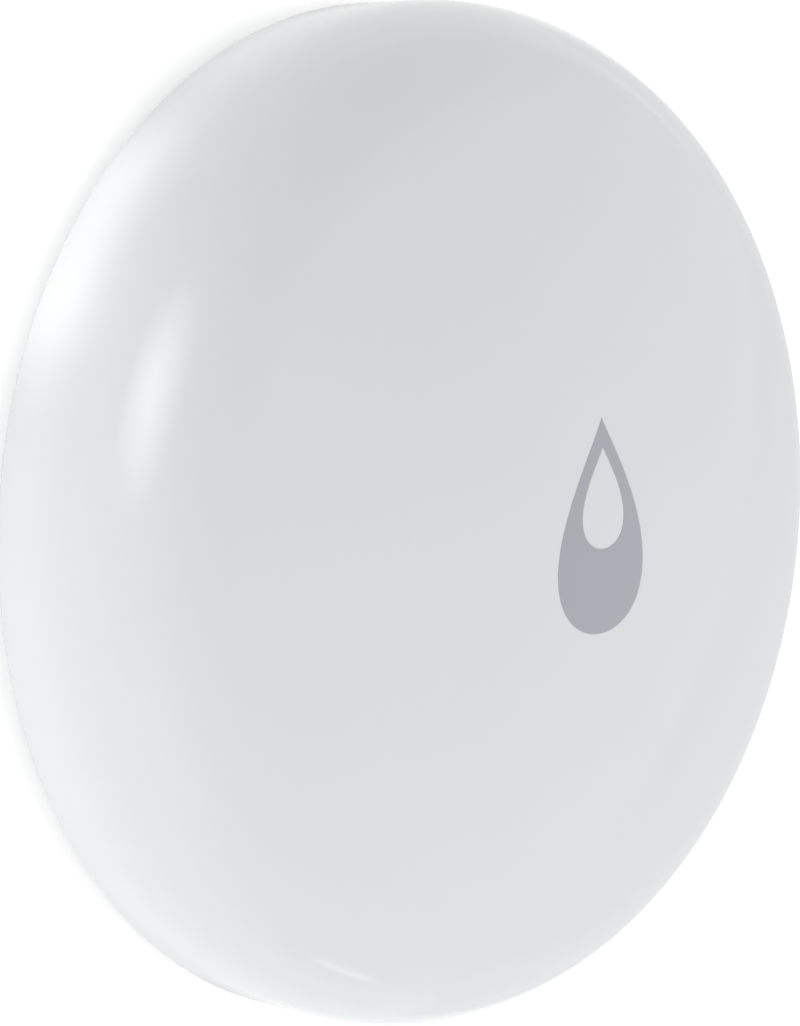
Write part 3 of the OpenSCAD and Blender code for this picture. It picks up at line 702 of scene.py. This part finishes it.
def satin_abs():
    material, tree, where = blank("satin_white_abs")
    clouds = add(tree, "TexNoise", None, {"Vector": where, "Scale": per(9), "Detail": 3})
    tint = add(tree, "ValToRGB", None, {"Fac": clouds.outputs["Fac"]})
    tint.color_ramp.elements[0].color = linear("#dadcdd")
    tint.color_ramp.elements[1].color = linear("#e1e3e4")
    pits = add(tree, "TexVoronoi", None, {"Vector": where, "Scale": per(0.35)})
    grain = add(tree, "TexNoise", None, {"Vector": where, "Scale": per(0.15), "Detail": 2})
    height = add(tree, "Math", {"operation": "ADD"}, {0: pits.outputs["Distance"], 1: grain.outputs["Fac"]})
    bump = add(tree, "Bump", None, {"Height": height.outputs[0], "Strength": 0.4, "Distance": 0.02 * mm})
    gloss = add(tree, "MapRange", None, {"Value": grain.outputs["Fac"], "To Min": 0.45, "To Max": 0.6})
    surface(tree, {"Base Color": tint.outputs["Color"], "Roughness": gloss.outputs["Result"], "IOR": 1.54,
                   "Normal": bump.outputs["Normal"]})
    return material


case_finish = satin_abs()
for piece in (pointer, shut_dot, open_ring):
    piece.data.materials.append(case_finish)
print("underside finish:", case_finish.name)

# %% [markdown]
# ### Soft seals
# The O-ring and the washers on the probes are black EPDM rubber, dull with a dry bloom. The ring under the
# cover is clear silicone, so it lets some light through and keeps a milky tint.

# %% Rubber and silicone


def black_epdm():
    material, tree, where = blank("black_epdm_rubber")
    bloom = add(tree, "TexNoise", None, {"Vector": where, "Scale": per(0.8), "Detail": 4})
    tint = add(tree, "ValToRGB", None, {"Fac": bloom.outputs["Fac"]})
    tint.color_ramp.elements[0].color = linear("#1b1c1d")
    tint.color_ramp.elements[1].color = linear("#2b2c2d")
    bump = add(tree, "Bump", None, {"Height": bloom.outputs["Fac"], "Strength": 0.3, "Distance": 0.01 * mm})
    surface(tree, {"Base Color": tint.outputs["Color"], "Roughness": 0.62, "IOR": 1.52,
                   "Normal": bump.outputs["Normal"]})
    return material


def clear_silicone():
    material, tree, where = blank("clear_silicone")
    milk = add(tree, "TexNoise", None, {"Vector": where, "Scale": per(2), "Detail": 2})
    tint = add(tree, "ValToRGB", None, {"Fac": milk.outputs["Fac"]})
    tint.color_ramp.elements[0].color = linear("#d3d6d7")
    tint.color_ramp.elements[1].color = linear("#e6e8e9")
    surface(tree, {"Base Color": tint.outputs["Color"], "Roughness": 0.35, "IOR": 1.41,
                   "Transmission Weight": 0.4})
    return material


print("seal finishes ready")

# %% [markdown]
# ### Plated steel
# The cell's can and cap are pressed from nickel-plated sheet, and the probe screws are turned and plated.
# Pressing and turning leave rings about the axis, so the pattern reads only the distance from that axis. The
# two screws sit left and right of the middle, and the absolute value of X gives both the same rings. Their
# axis is found from the round seals that sit on them.

# %% Nickel-plated steel with rings


def ringed_nickel(name, axis_mm, ring_mm, light, dark, roughness):
    """Nickel plate with rings about a vertical axis at plus and minus axis_mm on X."""
    change = 0.06
    material, tree, where = blank(name)
    split = add(tree, "SeparateXYZ", None, {"Vector": where})
    side = add(tree, "Math", {"operation": "ABSOLUTE"}, {0: split.outputs["X"]})
    off = add(tree, "Math", {"operation": "SUBTRACT"}, {0: side.outputs[0], 1: axis_mm * mm})
    flat = add(tree, "CombineXYZ", None, {"X": off.outputs[0], "Y": split.outputs["Y"]})
    radius = add(tree, "VectorMath", {"operation": "LENGTH"}, {0: flat.outputs["Vector"]})
    rings = add(tree, "TexNoise", {"noise_dimensions": "1D"},
                {"W": radius.outputs["Value"], "Scale": per(ring_mm)})
    tint = add(tree, "ValToRGB", None, {"Fac": rings.outputs["Fac"]})
    tint.color_ramp.elements[0].color = linear(dark)
    tint.color_ramp.elements[1].color = linear(light)
    gloss = add(tree, "MapRange", None, {"Value": rings.outputs["Fac"], "To Min": roughness - change,
                                         "To Max": roughness + change})
    bump = add(tree, "Bump", None, {"Height": rings.outputs["Fac"], "Strength": 0.15, "Distance": 0.01 * mm})
    surface(tree, {"Base Color": tint.outputs["Color"], "Metallic": 1, "Roughness": gloss.outputs["Result"],
                   "Normal": bump.outputs["Normal"]})
    return material


seals_low, seals_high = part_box("probe_seals")
probe_axis_mm = (seals_high.x - (seals_high.y - seals_low.y) / 2) / mm
print("probe axis in mm:", round(probe_axis_mm, 2))

# %% [markdown]
# ### Other metals
# Springs, small screws, stamped sheet and posts are tumbled smooth after they are cut, so a soft cloudy
# pattern with a few fine scratches along X suits them. One function serves the gold-plated bronze, the tinned
# steel, the copper line and the brass, which differ only in colour and gloss.

# %% Cloudy metal


def cloudy_metal(name, light, dark, roughness):
    """Metal in two close tones, with scratches that vary its gloss."""
    change = 0.08
    material, tree, where = blank(name)
    stretch = add(tree, "Mapping", None, {"Vector": where, "Scale": (0.1, 1, 1)})
    scratches = add(tree, "TexNoise", None, {"Vector": stretch.outputs["Vector"], "Scale": per(0.12),
                                             "Detail": 3})
    clouds = add(tree, "TexNoise", None, {"Vector": where, "Scale": per(1.2), "Detail": 3})
    tint = add(tree, "ValToRGB", None, {"Fac": clouds.outputs["Fac"]})
    tint.color_ramp.elements[0].color = linear(dark)
    tint.color_ramp.elements[1].color = linear(light)
    gloss = add(tree, "MapRange", None, {"Value": scratches.outputs["Fac"], "To Min": roughness - change,
                                         "To Max": roughness + change})
    surface(tree, {"Base Color": tint.outputs["Color"], "Metallic": 1, "Roughness": gloss.outputs["Result"]})
    return material


print("metal finish ready")

# %% [markdown]
# ### Circuit board
# The board is woven glass in resin under a green solder mask. The weave shows through the mask as a faint
# grid of half-millimetre threads, made from two sets of waves at right angles. The Wave texture fits twenty
# radians of a wave into one unit, which its scale has to take back.

# %% Solder mask over glass weave


def solder_mask():
    material, tree, where = blank("green_solder_mask")
    threads = per(0.5) * math.tau / 20
    warp = add(tree, "TexWave", {"bands_direction": "X"}, {"Vector": where, "Scale": threads})
    weft = add(tree, "TexWave", {"bands_direction": "Y"}, {"Vector": where, "Scale": threads})
    weave = add(tree, "Math", {"operation": "MULTIPLY"}, {0: warp.outputs["Fac"], 1: weft.outputs["Fac"]})
    tint = add(tree, "ValToRGB", None, {"Fac": weave.outputs[0]})
    tint.color_ramp.elements[0].color = linear("#195c3a")
    tint.color_ramp.elements[1].color = linear("#236f48")
    bump = add(tree, "Bump", None, {"Height": weave.outputs[0], "Strength": 0.2, "Distance": 0.01 * mm})
    surface(tree, {"Base Color": tint.outputs["Color"], "Roughness": 0.32, "IOR": 1.55,
                   "Normal": bump.outputs["Normal"]})
    return material


print("board finish ready")

# %% [markdown]
# ### Moulded electronics
# Switch, chip, gasket and light are moulded from filled resins with a fine speckle. Chip capacitors and
# resistors have tinned ends, which a comparison of X with the body's length paints on the same mesh.

# %% Speckled resin and tinned chips


def speckled(name, light, dark, roughness):
    """Filled resin in two close tones with a fine grain."""
    material, tree, where = blank(name)
    speckle = add(tree, "TexNoise", None, {"Vector": where, "Scale": per(0.12), "Detail": 4})
    tint = add(tree, "ValToRGB", None, {"Fac": speckle.outputs["Fac"]})
    tint.color_ramp.elements[0].color = linear(dark)
    tint.color_ramp.elements[1].color = linear(light)
    bump = add(tree, "Bump", None, {"Height": speckle.outputs["Fac"], "Strength": 0.25,
                                    "Distance": 0.01 * mm})
    surface(tree, {"Base Color": tint.outputs["Color"], "Roughness": roughness, "IOR": 1.55,
                   "Normal": bump.outputs["Normal"]})
    return material


def tinned_chip(name, node, body_hex):
    """Resin or ceramic body with tinned ends, for a row of chips that lie along X."""
    low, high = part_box(node)
    bare_reach = 0.3 * (high.x - low.x)
    material, tree, where = blank(name)
    split = add(tree, "SeparateXYZ", None, {"Vector": where})
    off = add(tree, "Math", {"operation": "SUBTRACT"}, {0: split.outputs["X"], 1: (low.x + high.x) / 2})
    reach = add(tree, "Math", {"operation": "ABSOLUTE"}, {0: off.outputs[0]})
    is_end = add(tree, "Math", {"operation": "GREATER_THAN"}, {0: reach.outputs[0], 1: bare_reach})
    grain = add(tree, "TexNoise", None, {"Vector": where, "Scale": per(0.2), "Detail": 3})
    gloss = add(tree, "MapRange", None, {"Value": grain.outputs["Fac"], "To Min": 0.3, "To Max": 0.5})
    tint = add(tree, "ValToRGB", None, {"Fac": is_end.outputs[0]})
    tint.color_ramp.elements[0].color = linear(body_hex)
    tint.color_ramp.elements[1].color = linear("#c9cbcc")
    surface(tree, {"Base Color": tint.outputs["Color"], "Metallic": is_end.outputs[0],
                   "Roughness": gloss.outputs["Result"]})
    return material


print("resin finishes ready")

# %% [markdown]
# ## Dress the parts
# The measured parts keep their shapes and only change their material, so one table names each part's finish.
# Parts of the same stuff share one material.

# %% One finish for every part
epdm = black_epdm()
steel = cloudy_metal("tinned_steel", "#c8cacc", "#aeb1b3", 0.32)
bronze = cloudy_metal("gold_plated_bronze", "#d8c389", "#c2a968", 0.30)
nylon = speckled("black_nylon", "#2c2d30", "#1c1d1f", 0.55)
finishes = {
    "rear_case": case_finish,
    "battery_door": case_finish,
    "case_seal": clear_silicone(),
    "door_o_ring": epdm,
    "probe_seals": epdm,
    "cell_can": ringed_nickel("nickel_can", 0, 0.3, "#bfc1c3", "#a9abad", 0.28),
    "cell_cap": ringed_nickel("nickel_cap", 0, 0.2, "#c6c8c9", "#b1b3b5", 0.24),
    "cell_gasket": speckled("black_polypropylene", "#33353a", "#26282c", 0.45),
    "positive_contacts": bronze,
    "negative_contact": bronze,
    "circuit_board": solder_mask(),
    "board_screws": steel,
    "switch_base": nylon,
    "switch_plunger": nylon,
    "switch_frame": steel,
    "switch_legs": steel,
    "indicator_led": speckled("clear_led_resin", "#f1eccb", "#e6dfb6", 0.18),
    "radio_chip": speckled("black_chip_epoxy", "#28292b", "#1d1e20", 0.5),
    "crystal": steel,
    "chip_capacitors": tinned_chip("tan_ceramic_chip", "chip_capacitors", "#a98556"),
    "chip_resistors": tinned_chip("black_film_chip", "chip_resistors", "#26272a"),
    "antenna_trace": cloudy_metal("copper_line", "#c8814f", "#b06b3c", 0.35),
    "probe_screws": ringed_nickel("turned_nickel_screw", probe_axis_mm, 0.12, "#c3c5c6", "#a6a8aa", 0.26),
    "probe_posts": cloudy_metal("turned_brass", "#d0aa55", "#b48d3c", 0.30),
}
for name, finish in finishes.items():
    frame["nodes"][name].material_slots[0].material = finish
snap_dome.data.materials.append(steel)
print("finishes:", len(set(finishes.values())), "for", len(finishes), "parts")
